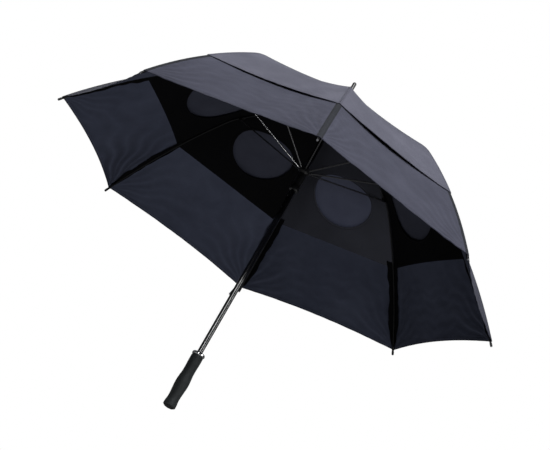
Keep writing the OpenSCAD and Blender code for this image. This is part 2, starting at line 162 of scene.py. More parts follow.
APEX_Z = 953.0       # top of the crown
ROOT_R, ROOT_Z = 12.0, 941.0      # rib hinge on the crown
JOINT_R, JOINT_Z = 302.0, 822.0   # joint of inner rib, outer rib and stretcher
RUNNER_Z = 703.0     # stretcher hinge on the runner
JOINT_LIFT = 5.0     # rib line above the joint
TIP_R = 614.0
INNER_HALF_TURN = 3.5             # half the turn of the inner rib's arc, degrees
BEND_SLOPE, TIP_SLOPE = 35.5, 51.5  # fall of the rib after the bend and at the tip, degrees
BEND_LENGTH = 45.0
VENT_R = 86.0
CLOTH_THICK = 0.5
HEM_CUT = 13.5       # how far the hem is hollowed in the middle of a gore
WEAVE_PITCH = 0.7
FOLD_KEEP = 0.03     # thickness share left when a half gore is folded flat


# ---------------------------------------------------------------- rib line in the (r, z) plane
def normal(slope):
    """outward unit normal of a line that falls at this slope (degrees)"""
    slope = np.radians(slope)
    return np.stack([np.sin(slope), np.cos(slope)], -1)


def arc_length(chord, half_turn):
    return chord * rad(half_turn) / math.sin(rad(half_turn))


# three tangent arcs: inner rib, short bend past the joint, outer rib
ROOT = np.array([ROOT_R, ROOT_Z])
hinge_slope = math.degrees(math.atan2(ROOT_Z - JOINT_Z, JOINT_R - ROOT_R))
KNEE = np.array([JOINT_R, JOINT_Z]) + JOINT_LIFT * normal(hinge_slope)
chord_slope = math.degrees(math.atan2(ROOT[1] - KNEE[1], KNEE[0] - ROOT[0]))
ROOT_SLOPE = chord_slope + INNER_HALF_TURN
KNEE_SLOPE = chord_slope - INNER_HALF_TURN
AT_JOINT = arc_length(float(np.linalg.norm(KNEE - ROOT)), INNER_HALF_TURN)
INNER_RADIUS = AT_JOINT / rad(KNEE_SLOPE - ROOT_SLOPE)  # negative: the slope eases outwards
BEND_RADIUS = BEND_LENGTH / rad(BEND_SLOPE - KNEE_SLOPE)
BEND = KNEE + BEND_RADIUS * (normal(BEND_SLOPE) - normal(KNEE_SLOPE))
outer_chord = (TIP_R - BEND[0]) / math.cos(rad((BEND_SLOPE + TIP_SLOPE) / 2))
OUTER_LENGTH = arc_length(outer_chord, (TIP_SLOPE - BEND_SLOPE) / 2)
OUTER_RADIUS = OUTER_LENGTH / rad(TIP_SLOPE - BEND_SLOPE)
AT_BEND = AT_JOINT + BEND_LENGTH
RIB_LENGTH = AT_BEND + OUTER_LENGTH


def rib_slope(along):
    """slope in degrees at a length along the rib"""
    along = np.asarray(along, float)
    inner = ROOT_SLOPE + (KNEE_SLOPE - ROOT_SLOPE) * along / AT_JOINT
    bend = KNEE_SLOPE + (BEND_SLOPE - KNEE_SLOPE) * (along - AT_JOINT) / BEND_LENGTH
    outer = BEND_SLOPE + (TIP_SLOPE - BEND_SLOPE) * (along - AT_BEND) / OUTER_LENGTH
    return np.where(along < AT_JOINT, inner, np.where(along < AT_BEND, bend, outer))


def rib_point(along):
    """(r, z) at a length along the rib"""
    along = np.asarray(along, float)
    out = normal(rib_slope(along))
    inner = ROOT + INNER_RADIUS * (out - normal(ROOT_SLOPE))
    bend = KNEE + BEND_RADIUS * (out - normal(KNEE_SLOPE))
    outer = BEND + OUTER_RADIUS * (out - normal(BEND_SLOPE))
    past_joint = np.where((along < AT_BEND)[..., None], bend, outer)
    return np.where((along < AT_JOINT)[..., None], inner, past_joint)


def along_at(radius):
    """length along the rib at which it reaches a radius, by bisection"""
    low, high = 0.0, RIB_LENGTH
    for _ in range(40):
        middle = (low + high) / 2
        if rib_point(middle)[0] < radius:
            low = middle
        else:
            high = middle
    return (low + high) / 2


# stations along the rib
AT_VENT = along_at(346.0)       # centre of the round vent
AT_SEAM = along_at(458.0)
AT_BAND = AT_SEAM + 4           # start of the band outside the vent panel
AT_HEM = RIB_LENGTH - 4.0

# The two canopy layers. offset: height over the rib line; root_lift, root_run: extra height at
# the crown and how far it fades out; cap_r, cap_z: (start, gain) of the part on the crown;
# sag: depth in the middle of a gore; fold_height, fold_reach: corner folds;
# hem_pucker: its height; seed: picks the wave phase
UPPER = SimpleNamespace(
    offset=5.8, root_lift=5.0, root_run=40, cap_r=(8.0, 8.8), cap_z=(APEX_Z - 0.2, -1.4),
    sag=13.5, hem=along_at(467.0), fold_height=0.9, fold_reach=70.0, hem_pucker=0.20,
    seed=3, slot="canopy_upper", cad_name="top_gore")
LOWER = SimpleNamespace(
    offset=4.0, root_lift=1.4, root_run=26, cap_r=(8.2, 7.6), cap_z=(ROOT_Z + 4.6, 0.1),
    sag=17.5, hem=AT_HEM, fold_height=2.1, fold_reach=105.0, hem_pucker=0.35,
    seed=1, slot="canopy_lower", cad_name="lower_gore")

SAG_START, SAG_PEAK = 20, 330   # lengths along the rib between which the sag grows
SAG_LOSS = 0.42                 # share of the sag lost from its peak to the tip
# corners of the lower layer with stronger folds: (gore, sign of y) to factor
STRONG_CORNERS = {(8, -1): 3.2, (5, -1): 2.0, (7, -1): 1.5}


# ---------------------------------------------------------------- cloth surface of a gore
def fade_in(value, run):
    """0 to 1 while value goes from 0 to run"""
    return np.clip(value / run, 0, 1)


def fabric_line(along, layer):
    """(r, z) of a layer over a rib; a negative length is on the crown"""
    along = np.asarray(along, float)
    on_rib = np.maximum(along, 0)
    near = np.clip(1 - along / layer.root_run, 0, None)
    lift = layer.offset + layer.root_lift * near * near
    over_rib = rib_point(on_rib) + lift[..., None] * normal(rib_slope(on_rib))
    share = fade_in(along + 14, 14)
    cap = np.stack([start + gain * share for start, gain in (layer.cap_r, layer.cap_z)], -1)
    return np.where((along <= 0)[..., None], cap, over_rib)


def width(along, layer):
    """half width of a gore"""
    return fabric_line(along, layer)[..., 0] * math.sin(HALF_GORE)


def sag_at(along, depth):
    growing = np.sin(np.radians(fade_in(along - SAG_START, SAG_PEAK - SAG_START) * 90)) ** 2
    easing = 1 - SAG_LOSS * (along - SAG_PEAK) / (RIB_LENGTH - SAG_PEAK)
    return depth * np.where(along <= SAG_START, 0.0,
                            np.where(along < SAG_PEAK, growing, easing))


def hash01(*keys):
    """fixed pseudo-random number from 0 to 1 for up to three keys"""
    mixed = math.sin(sum(k * w for k, w in zip(keys, (12.9898, 78.233, 37.719)))) * 43758.5453
    return mixed - math.floor(mixed)


def phase_of(*keys):
    return 6.28 * hash01(*keys)


def corner_folds(y, along, half_width, gore, layer):
    """tension folds that fan out from a gore's hem corners, mm out of the surface"""
    height = np.zeros_like(y)
    from_rib = half_width - np.abs(y)
    for sign in (-1, 1):
        in_y = (sign * width(layer.hem, layer) - y) * sign
        in_along = layer.hem - along
        distance = np.sqrt(in_y * in_y + in_along * in_along) + 1e-6
        bearing = np.arctan2(in_y, in_along + 1e-6)
        strength = STRONG_CORNERS.get((gore, sign), 1.0) if layer is LOWER else 1.0
        # grows over the first 26 mm, then dies away
        size = (layer.fold_height * strength * np.exp(-distance / layer.fold_reach)
                * distance / (distance + 26.0))
        folds = 13 + 3 * hash01(gore, sign, 5)  # waves per radian around the corner
        wander = 0.6 * np.sin(distance / 19.0)
        height += (size * np.sin(bearing * folds + phase_of(gore, sign, 7) + wander)
                   * fade_in(from_rib, 14.0))
    return height


def waves(y, along, half_width, gore, layer):
    """small folds and puckers of the sewn, stretched gore, mm out of the surface"""
    from_rib = half_width - np.abs(y)
    to_hem = np.clip(layer.hem - along, 0, None)
    phase = phase_of(gore, layer.seed)
    # puckers along the rib seams: 0.28 mm, within about 9 mm, none on the seam itself
    height = (0.28 * np.exp(-from_rib / 9.0) * (1 - np.exp(-from_rib / 2.5))
              * np.sin(along / 3.1 + phase + 1.7 * np.sin(along / 23.0 + phase)))
    # puckers along the hem, within about 16 mm
    height += (layer.hem_pucker * np.exp(-to_hem / 16.0)
               * np.sin(y / 7.6 + phase + 1.3 * np.sin(y / 29.0)))
    height += corner_folds(y, along, half_width, gore, layer)
    if layer is LOWER:
        # fine cross wrinkles of the band, 0.1 to 0.4 mm, wandering with y
        wander = 2.2 * np.sin(y / 31.0 + phase) + 1.1 * np.sin(y / 11.0 + 2 * phase)
        height += ((0.10 + 0.30 * hash01(gore, 17) ** 2) * np.sin(along / 4.6 + wander)
                   * fade_in(along - AT_SEAM - 20, 60.0) * fade_in(from_rib, 20.0))
    # slow unevenness of the whole gore, 0.9 mm
    height += (0.9 * np.sin(y / 61.0 + phase) * np.sin(along / 83.0 + 2 * phase)
               * fade_in(from_rib, 40.0) * fade_in(along, 120.0))
    if layer is UPPER:
        # gathers within 70 mm of the crown, 0.5 mm
        near_crown = np.clip(1 - along / 70.0, 0, 1)
        height += (0.5 * near_crown * np.sin(y / np.maximum(half_width, 1) * 12.0 + phase)
                   * fade_in(along + 4, 12))
    return height


def cloth(y, along, outward, layer, gore):
    """points of a gore in its own frame (mm): x to the gore's middle, y across, z up"""
    y, along = np.asarray(y, float), np.asarray(along, float)
    half_width = width(along, layer)
    share = np.clip(y / half_width, -1, 1)
    bow = 1 - share * share
    station = along - HEM_CUT * (np.clip(along, 0, None) / RIB_LENGTH) ** 1.5 * bow
    point = fabric_line(station, layer)
    inward = (sag_at(station, layer.sag) * bow - outward
              - waves(y, along, half_width, gore, layer))
    if layer is UPPER:  # its free edge lifts a little off the lower layer, most on gore 3
        edge_lift = 2.4 if gore == 3 else 0.5
        inward = inward - edge_lift * np.clip(1 - (UPPER.hem - along) / 60.0, 0, 1) ** 2 * bow
    slope = np.radians(np.where(station <= 0, 8.0, rib_slope(np.maximum(station, 0))))
    return np.stack([point[..., 0] * math.cos(HALF_GORE) - inward * np.sin(slope),
                     share * (point[..., 0] * math.sin(HALF_GORE)),
                     point[..., 1] - inward * np.cos(slope)], -1)


# ---------------------------------------------------------------- mesh helpers
def rib_angle(rib):
    return (rib - 1) * RIB_STEP


def middle_angle(rib, side=1):
    """bearing of the middle of the gore on one side of a rib"""
    return rib_angle(rib) + side * HALF_GORE


def turn_z(points, angle):
    cos, sin = math.cos(angle), math.sin(angle)
    x, y = points[:, 0], points[:, 1]
    return np.stack([x * cos - y * sin, x * sin + y * cos, points[:, 2]], 1)


def flip(faces):
    return [tuple(reversed(face)) for face in faces]


def build(name, points, faces, skins, sharp, attributes=None, skin_of_face=None, angle=0.0):
    """object from points in mm, turned about Z; attributes are floats on the points"""
    mesh = bpy.data.meshes.new(name)
    mesh.from_pydata([tuple(p) for p in turn_z(points, angle) * MM], [], faces)
    for skin in skins:
        mesh.materials.append(skin)
    if skin_of_face is not None:
        mesh.polygons.foreach_set("material_index", np.array(skin_of_face, np.int32))
    mesh.polygons.foreach_set("use_smooth", np.ones(len(mesh.polygons), bool))
    for key, values in (attributes or {}).items():
        layer = mesh.attributes.new(key, "FLOAT", "POINT")
        layer.data.foreach_set("value", np.full(len(points), values, np.float32))
    mesh.update()
    mesh.set_sharp_from_angle(angle=rad(sharp))
    obj = bpy.data.objects.new(name, mesh)
    scene.collection.objects.link(obj)
    return obj


def cloth_attributes(y, along, hem, edge):
    """what the fabric shader reads: place in the gore, distance to the hem and to the rib"""
    return {"cy": y, "cs": along, "hem": hem, "edge": edge}


def attach(obj, body, slot, fold_with=None):
    """ride a body; fold in the same plane as the named half gore, if any"""
    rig.ride(obj, body)
    if fold_with:
        squash = bpy.data.objects[fold_with]["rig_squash"]
        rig.squash(obj, "canopy_fold", axis=tuple(squash["axis"]),
                  anchor=tuple(squash["anchor"]), keep=FOLD_KEEP)
    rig.slot(obj, slot)


def fix_normals(obj):
    mesh = bmesh.new()
    mesh.from_mesh(obj.data)
    bmesh.ops.recalc_face_normals(mesh, faces=mesh.faces)
    mesh.to_mesh(obj.data)
    mesh.free()


# faces of a closed strip: two sheets of points, the second starting at index `back`
def sheet_row(row, columns, back):
    faces = []
    for a in range(row * columns, row * columns + columns - 1):
        quad = (a, a + columns, a + columns + 1, a + 1)
        faces += [quad, tuple(back + v for v in reversed(quad))]
    return faces


def sheet_sides(row, columns, back):
    a = row * columns
    b = a + columns - 1
    return [(a, back + a, back + a + columns, a + columns),
            (b, b + columns, back + b + columns, back + b)]


def sheet_ends(last, columns, back):
    faces = []
    for i in range(columns - 1):
        b = last * columns + i
        faces += [(i, i + 1, back + i + 1, back + i), (b + 1, b, back + b, back + b + 1)]
    return faces


def sheet_faces(last, columns):
    back = (last + 1) * columns
    return ([f for row in range(last) for f in sheet_row(row, columns, back)]
            + sheet_ends(last, columns, back)
            + [f for row in range(last) for f in sheet_sides(row, columns, back)])


# ---------------------------------------------------------------- shader helpers
class Nodes:
    """builds the node tree of a material or world"""

    def __init__(self, owner):
        owner.use_nodes = True
        self.tree = owner.node_tree
        self.tree.nodes.clear()

    def add(self, kind, inputs=None, **settings):
        """a node; each input is a value or a socket to link from"""
        node = self.tree.nodes.new("ShaderNode" + kind)
        for key, value in settings.items():
            setattr(node, key, value)
        for key, value in (inputs or {}).items():
            if isinstance(value, bpy.types.NodeSocket):
                self.tree.links.new(value, node.inputs[key])
            else:
                node.inputs[key].default_value = value
        return node

    def calc(self, operation, first, second=None):
        inputs = {0: first} if second is None else {0: first, 1: second}
        return self.add("Math", inputs, operation=operation).outputs[0]

    def weighted(self, *terms):
        """sum of (socket, weight) terms"""
        total = None
        for socket, weight in terms:
            part = self.calc("MULTIPLY", socket, weight)
            total = part if total is None else self.calc("ADD", total, part)
        return total

    def noise(self, vector, **inputs):
        return self.add("TexNoise", {"Vector": vector, **inputs}).outputs["Fac"]

    def ramp(self, factor, stops):
        node = self.add("ValToRGB", {0: factor})
        elements = node.color_ramp.elements
        while len(elements) > 1:
            elements.remove(elements[-1])
        elements[0].position = stops[0][0]
        elements[0].color = (*stops[0][1], 1)
        for position, colour in stops[1:]:
            elements.new(position).color = (*colour, 1)
        return node.outputs[0]

    def mix_colour(self, factor, first, second):
        return self.add("Mix", {"Factor": factor, "A": first, "B": second},
                        data_type="RGBA").outputs["Result"]

    def mix_shader(self, factor, first, second):
        inputs = {0: factor, 1: first.outputs[0], 2: second.outputs[0]}
        return self.add("MixShader", inputs).outputs[0]

    def bump(self, height, strength):
        inputs = {"Strength": strength, "Distance": 1.0, "Height": height}
        return self.add("Bump", inputs).outputs[0]


def new_material(name):
    material = bpy.data.materials.new(name)
    return material, Nodes(material)


# ---------------------------------------------------------------- materials
def stitch_row(nodes, distance, at, along):
    """0.9 mm wide dashes, one each 3 mm, at a set distance from an edge"""
    calc = nodes.calc
    offset = calc("ABSOLUTE", calc("SUBTRACT", distance, at))
    near = calc("LESS_THAN", offset, 0.45)
    wave = calc("SINE", calc("MULTIPLY", along, 2 * math.pi / 3.0))
    dash = calc("GREATER_THAN", wave, -0.35)
    return calc("MULTIPLY", near, dash)


def fabric(name, base, dark, sheen, translucency, specular=0.15):
    """plain-woven cloth: cloudy tone, creases, painted shade on creases, on corner folds and on the hem's turned edge,
    and stitching
    """
    material, nodes = new_material(name)
    calc = nodes.calc
    coords = nodes.add("TexCoord").outputs["Object"]
    y, along, hem, edge, painted_fold_shade = (
        nodes.add("Attribute", attribute_name=key).outputs["Fac"]
        for key in ("cy", "cs", "hem", "edge", "painted_fold_shade"))

    thread = 2 * math.pi / WEAVE_PITCH
    weave = calc("MULTIPLY", calc("SINE", calc("MULTIPLY", y, thread)),
                 calc("SINE", calc("MULTIPLY", along, thread)))
    clouds = nodes.noise(coords, Scale=7.0, Detail=4.0, Roughness=0.55)
    grain = nodes.noise(coords, Scale=900.0, Detail=2.0)
    crease = nodes.noise(coords, Scale=16.0, Detail=6.0, Roughness=0.6, Distortion=0.6)

    # tone: random clouds, weave and grain, plus painted shade that darkens the colour where the crease noise dips
    shade = nodes.weighted((clouds, 0.75), (weave, 0.06), (grain, 0.16),
                           (calc("SUBTRACT", crease, 0.5), 0.55))
    colour = nodes.ramp(shade, [(0.22, tuple(c * 0.85 for c in dark)), (0.72, base)])
    # painted shade: the colour darkens with the height of the corner folds, up or down alike
    colour = nodes.mix_colour(calc("MULTIPLY", calc("ABSOLUTE", painted_fold_shade), 0.6), colour,
                              tuple(c * 0.30 for c in dark) + (1,))
    # two rows of stitches by the hem, one by the rib; the turned edge of the hem gets painted shade, a dark line along
    # the hem
    hem_stitches = calc("MAXIMUM", stitch_row(nodes, hem, 9.0, y),
                        stitch_row(nodes, hem, 2.0, y))
    stitches = calc("MAXIMUM", hem_stitches, stitch_row(nodes, edge, 3.5, along))
    # painted shade: darkest within 1.2 mm of the hem, fading out by 4.2 mm
    turned = nodes.add("MapRange", {"Value": hem, "From Min": 1.2, "From Max": 4.2,
                                    "To Min": 0.85, "To Max": 0.0},
                       interpolation_type="SMOOTHSTEP").outputs["Result"]
    colour = nodes.mix_colour(calc("MAXIMUM", stitches, turned), colour,
                              (dark[0] * 0.35, dark[1] * 0.35, dark[2] * 0.38, 1))

    # relief in metres
    height = calc("SUBTRACT", nodes.weighted((weave, 0.00003), (crease, 0.0016)),
                  calc("MULTIPLY", stitches, 0.0004))
    bump = nodes.bump(height, strength=1.0)
    surface = nodes.add("BsdfPrincipled", {
        "Base Color": colour, "Roughness": 0.78, "Sheen Weight": sheen,
        "Sheen Roughness": 0.4, "Specular IOR Level": specular, "Normal": bump})
    through = nodes.add("BsdfTranslucent", {"Color": colour, "Normal": bump})
    nodes.add("OutputMaterial", {0: nodes.mix_shader(translucency, surface, through)})
    return material


def hard(name, colour, roughness, grain, grain_mm, metallic=0.0, coat=0.0, variation=0.15,
         wear=None, specular=0.5, anisotropic=0.0):
    """moulded, painted or metal finish: fine grain, tone variation, edges worn to `wear`"""
    material, nodes = new_material(name)
    coords = nodes.add("TexCoord").outputs["Object"]
    fine = nodes.noise(coords, Scale=grain, Detail=3.0)
    broad = nodes.noise(coords, Scale=38.0, Detail=4.0)
    shade = nodes.ramp(broad, [(0.35, tuple(c * (1 - variation) for c in colour)),
                               (0.65, tuple(min(1, c * (1 + variation)) for c in colour))])
    if wear:
        pointiness = nodes.add("NewGeometry").outputs["Pointiness"]
        edges = nodes.ramp(pointiness, [(0.52, (0, 0, 0)), (0.60, (1, 1, 1))])
        worn = nodes.calc("MULTIPLY", edges, nodes.calc("MULTIPLY", fine, 0.8))
        shade = nodes.mix_colour(worn, shade, (*wear, 1))
    # roughness varies by 0.06 either way
    uneven = nodes.calc("ADD", nodes.calc("MULTIPLY", broad, 0.12), roughness - 0.06)
    height = nodes.calc("MULTIPLY", fine, grain_mm * MM)
    surface = nodes.add("BsdfPrincipled", {
        "Base Color": shade, "Roughness": uneven, "Metallic": metallic,
        "Coat Weight": coat, "Coat Roughness": 0.08, "Specular IOR Level": specular,
        "Anisotropic": anisotropic, "Normal": nodes.bump(height, strength=0.6)})
    nodes.add("OutputMaterial", {0: surface.outputs[0]})
    return material


def foam(name):
    """closed-cell foam: cells, pores and slanting marks that wind round the grip"""
    material, nodes = new_material(name)
    coords = nodes.add("TexCoord").outputs["Object"]
    mapped = nodes.add("Mapping", {"Vector": coords}).outputs[0]
    cells = nodes.add("TexVoronoi", {"Scale": 1500.0, "Vector": mapped}).outputs["Distance"]
    pores = nodes.noise(mapped, Scale=420.0, Detail=5.0, Roughness=0.7)
    soft = nodes.noise(mapped, Scale=45.0, Detail=3.0)
    axes = nodes.add("SeparateXYZ", {0: coords}).outputs
    bearing = nodes.calc("ARCTAN2", axes[1], axes[0])
    # 34 marks round the grip, climbing with z
    marks = nodes.calc("SINE", nodes.weighted((bearing, 34.0), (axes[2], 2600.0)))
    shade = nodes.weighted((soft, 0.7), (pores, 0.35), (marks, 0.035))
    colour = nodes.ramp(shade, [(0.30, (0.012, 0.0145, 0.0155)),
                                (0.72, (0.025, 0.030, 0.032))])
    height = nodes.weighted((cells, 0.00006), (pores, 0.00016), (marks, 0.00002))  # metres
    surface = nodes.add("BsdfPrincipled", {
        "Base Color": colour, "Roughness": 0.62, "Sheen Weight": 0.12,
        "Specular IOR Level": 0.35, "Normal": nodes.bump(height, strength=0.9)})
    nodes.add("OutputMaterial", {0: surface.outputs[0]})
    return material


SLATE = fabric("fabric_slate_outer", base=(0.1435, 0.1445, 0.1860),
               dark=(0.1140, 0.1160, 0.1525), sheen=0.06, translucency=0.03)
# the underside of the upper cloth: the same cloth at about a third of the outside's brightness; the darkness is painted
# shade
SLATE_INSIDE = fabric("fabric_slate_inner_shaded", base=(0.0518, 0.0553, 0.0795),
                      dark=(0.0415, 0.0449, 0.0674), sheen=0.03, translucency=0.03)
BAND = fabric("fabric_band_outer", base=(0.0805, 0.0832, 0.1155),
              dark=(0.0648, 0.0670, 0.0950), sheen=0.06, translucency=0.02)
BAND_INSIDE = fabric("fabric_band_inner", base=(0.0719, 0.0818, 0.1243),
                     dark=(0.0556, 0.0637, 0.1014), sheen=0.03, translucency=0.02)
BLACK = fabric("fabric_vent_black", base=(0.0030, 0.0030, 0.0038),
               dark=(0.002, 0.002, 0.0026), sheen=0.0, translucency=0.0, specular=0.06)
# dark strip over each rib on the outside of the band: real tape, its dark colour partly painted shade of the band's
# fold along the rib
TAPE_AND_FOLD_SHADE = fabric("seam_tape", base=(0.034, 0.036, 0.044), dark=(0.026, 0.028, 0.034),
              sheen=0.04, translucency=0.0)
GLOSS_BLACK = hard("shaft_gloss_black", (0.003, 0.003, 0.004), roughness=0.12, coat=1.0,
                   grain=900.0, grain_mm=0.001)
FOAM = foam("foam_grip")
CHROME = hard("chrome", (0.78, 0.78, 0.79), roughness=0.07, metallic=1.0, grain=500.0,
              grain_mm=0.002, variation=0.03)
PLASTIC = hard("moulded_black", (0.005, 0.005, 0.0055), roughness=0.40, grain=700.0,
               grain_mm=0.03, wear=(0.03, 0.03, 0.033), specular=0.35)
FERRULE = hard("ferrule_black", (0.010, 0.010, 0.011), roughness=0.30, grain=600.0,
               grain_mm=0.02, wear=(0.08, 0.08, 0.085))
FIBREGLASS = hard("fibreglass_black", (0.0035, 0.0035, 0.004), roughness=0.42, grain=260.0,
                  grain_mm=0.02, specular=0.22)
ENAMEL = hard("stretcher_enamel", (0.006, 0.006, 0.007), roughness=0.24, coat=0.6,
              grain=350.0, grain_mm=0.01, wear=(0.12, 0.12, 0.13))
WIRE = hard("drawn_steel", (0.55, 0.55, 0.57), roughness=0.25, metallic=1.0, grain=800.0,
            grain_mm=0.01)
TIP_BLACK = hard("tip_black", (0.005, 0.005, 0.006), roughness=0.40, grain=600.0,
                 grain_mm=0.02, specular=0.3)
# light-grey end caps on the ribs: the grey is a painted highlight, the one a tip's end face catches when seen end on
TIP_GREY_HIGHLIGHT = hard("tip_cap_grey", (0.20, 0.205, 0.22), roughness=0.35, grain=600.0,
                grain_mm=0.02, coat=0.2)
SPRING = hard("spring_steel", (0.30, 0.30, 0.31), roughness=0.28, metallic=1.0, grain=500.0,
              grain_mm=0.01, anisotropic=0.4)

part_materials = {
    "shaft": GLOSS_BLACK, "grip": FOAM, "grip_cap": PLASTIC, "collar": CHROME,
    "crown": PLASTIC, "crown_wire": WIRE, "ferrule": FERRULE, "runner": PLASTIC,
    "runner_wire": WIRE, "top_catch": SPRING, "bottom_catch": SPRING}
for rib in range(1, RIBS + 1):
    part_materials[f"rib_inner_{rib}"] = FIBREGLASS
    part_materials[f"rib_outer_{rib}"] = FIBREGLASS
    part_materials[f"rib_tip_{rib}"] = TIP_BLACK
    part_materials[f"stretcher_{rib}"] = ENAMEL
for part, material in part_materials.items():
    mesh = frame["nodes"][part].data
    mesh.materials.clear()
    mesh.materials.append(material)
    for polygon in mesh.polygons:
        polygon.material_index = 0


# ---------------------------------------------------------------- half gores
# A patch is (y, along, faces). It runs from the gore's middle, y = 0, to the rib; `end` is the
# sign of y at the rib.
def grid_patch(end, layer, start, stop, columns, rows, extra=()):
    """regular grid, with extra stations after its last row"""
    stations = np.append(np.linspace(start, stop, rows + 1), extra)
    row_size = columns + 1
    y = np.outer(width(stations, layer), np.linspace(0, end, row_size)).ravel()
    faces = [(a, a + 1, a + row_size + 1, a + row_size)
             for row in range(len(stations) - 1)
             for a in range(row * row_size, row * row_size + columns)]
    return y, np.repeat(stations, row_size), faces


def vent_angle(along):
    """angle on the vent's edge, 0 at its outermost point, at a length along the rib"""
    return math.acos(max(-1, min(1, (along - AT_VENT) / VENT_R)))


def steps(start, end, count):
    """even steps from start, without the end"""
    return [start + (end - start) * i / count for i in range(count)]


def vent_patch(end, start, stop):
    """triangulated half gore of the lower layer, less the round vent"""
    spacing = 7.0
    end_columns, side_step, arc_segments = 18, 8, 40

    def opening(along):
        return math.sqrt(max(VENT_R ** 2 - (along - AT_VENT) ** 2, 0.0))

    # outline: start row, rib side, stop row, then back along the middle line and the vent
    open_start, open_stop = opening(start), opening(stop)
    wide_start, wide_stop = float(width(start, LOWER)), float(width(stop, LOWER))
    arc_start, arc_stop = max(start, AT_VENT - VENT_R), min(stop, AT_VENT + VENT_R)
    ring = [(y, start) for y in steps(open_start, wide_start, end_columns)]
    ring += [(float(width(s, LOWER)), s)
             for s in steps(start, stop, int((stop - start) / side_step))]
    ring += [(y, stop) for y in steps(wide_stop, open_stop, end_columns)]
    if not open_stop:
        ring += [(0.0, s) for s in steps(stop, arc_stop, int((stop - arc_stop) / spacing))]
    ring += [(VENT_R * math.sin(a), AT_VENT + VENT_R * math.cos(a))
             for a in steps(vent_angle(arc_stop), vent_angle(arc_start), arc_segments)]
    if not open_start:
        ring += [(0.0, s) for s in steps(arc_start, start, int((arc_start - start) / spacing))]

    outline = [ring[0]]
    for point in ring[1:]:
        if math.dist(point, outline[-1]) > 0.05:
            outline.append(point)
    if math.dist(outline[0], outline[-1]) < 0.05:
        outline.pop()

    # staggered points inside, clear of every edge
    points = list(outline)
    clear = spacing * 0.4
    along = start + spacing / 2
    row = 0
    while along < stop:
        limit = float(width(along, LOWER)) - spacing * 0.55
        y = spacing / 2 if row % 2 else spacing
        while y < limit:
            off_vent = math.hypot(y, along - AT_VENT) > VENT_R + spacing * 0.5
            if off_vent and along - start > clear and stop - along > clear:
                points.append((y, along))
            y += spacing
        along += spacing * 0.866
        row += 1
    result = delaunay_2d_cdt([Vector(p) for p in points], [], [list(range(len(outline)))],
                             1, 1e-4)
    placed = np.array([(v.x * end, v.y) for v in result[0]])
    faces = [tuple(f) for f in result[2]]
    return placed[:, 0], placed[:, 1], faces if end > 0 else flip(faces)


def shell(y, along, faces, layer, gore, inner):
    """closed thin shell over a patch: points in the gore's frame and faces, outside first"""
    count = len(y)
    turned_in = 0.55 * fade_in(11.0 - (layer.hem - along), 1.2)  # the hem is thicker
    # the inner part dips under the outer one past the joint
    dip = 0.75 * fade_in(along - AT_JOINT, 1.5) if inner else 0.0
    outside = cloth(y, along, CLOTH_THICK / 2 - dip, layer, gore)
    inside = cloth(y, along, -CLOTH_THICK / 2 - turned_in - dip, layer, gore)
    a, b, c = faces[0][:3]
    face_normal = np.cross(outside[b] - outside[a], outside[c] - outside[a])
    if float(face_normal @ (outside[a] - inside[a])) < 0:
        faces = flip(faces)
    closed = faces + [tuple(count + i for i in f) for f in flip(faces)]
    border = {}  # edges used once, in order
    for face in faces:
        for a, b in zip(face, face[1:] + face[:1]):
            if (b, a) in border:
                border.pop((b, a))
            else:
                border[(a, b)] = True
    closed += [(b, a, a + count, b + count) for a, b in border]
    return np.vstack([outside, inside]), closed


# Each piece of a half gore: name, layer, rib part it rides, skins (outside, inside), station of
# the fold anchor, fold plane (slope and turn in degrees, offset in mm), patch for an end.
# The fold planes keep the pieces joined to each other and to the ribs when closed.
PIECES = [
    ("top_inner", UPPER, "inner", [SLATE, SLATE_INSIDE], (AT_JOINT - 2.0) / 2,
     (21.99, 31.43, -0.72),
     # runs on under the outer piece, so that the seam stays shut as the rib flexes
     lambda end: grid_patch(end, UPPER, -13.0, AT_JOINT, 18, int((AT_JOINT + 13) / 7.0),
                            extra=(AT_JOINT + 1.5, AT_JOINT + 10.0))),
    ("top_edge", UPPER, "outer", [SLATE, SLATE_INSIDE], (AT_JOINT + UPPER.hem) / 2,
     (33.78, 36.67, 1.48),
     lambda end: grid_patch(end, UPPER, AT_JOINT, UPPER.hem, 18,
                            int((UPPER.hem - AT_JOINT) / 7.0))),
    ("vent_inner", LOWER, "inner", [BLACK], AT_JOINT / 2,
     (22.49, 28.54, -1.08), lambda end: vent_patch(end, 0.0, AT_JOINT + 9)),
    ("vent_edge", LOWER, "outer", [BLACK], (AT_JOINT + AT_BAND) / 2,
     (36.43, 33.65, 4.14), lambda end: vent_patch(end, AT_JOINT, AT_BAND)),
    ("band", LOWER, "outer", [BAND, BAND_INSIDE], (AT_BAND + AT_HEM) / 2,
     (40.86, 33.37, -0.05),
     lambda end: grid_patch(end, LOWER, AT_BAND, AT_HEM, 42, int((AT_HEM - AT_SEAM) / 4.5))),
]


def fold_plane(rib, side, layer, station, slope, turn, offset):
    """axis and anchor (metres) of the plane in which a piece folds"""
    r, z = fabric_line(station, layer)
    rise = np.array([math.sin(rad(slope)), 0.0, math.cos(rad(slope))])
    axis = np.array([0.0, 1.0, 0.0]) * math.cos(rad(turn)) - rise * math.sin(rad(turn))
    anchor = np.array([r, 0.0, z]) + axis * offset
    mirrored = np.array([axis, anchor]) * np.array([1.0, side, 1.0])
    axis, anchor = turn_z(mirrored, rib_angle(rib))
    return tuple(axis.tolist()), tuple((anchor * MM).tolist())


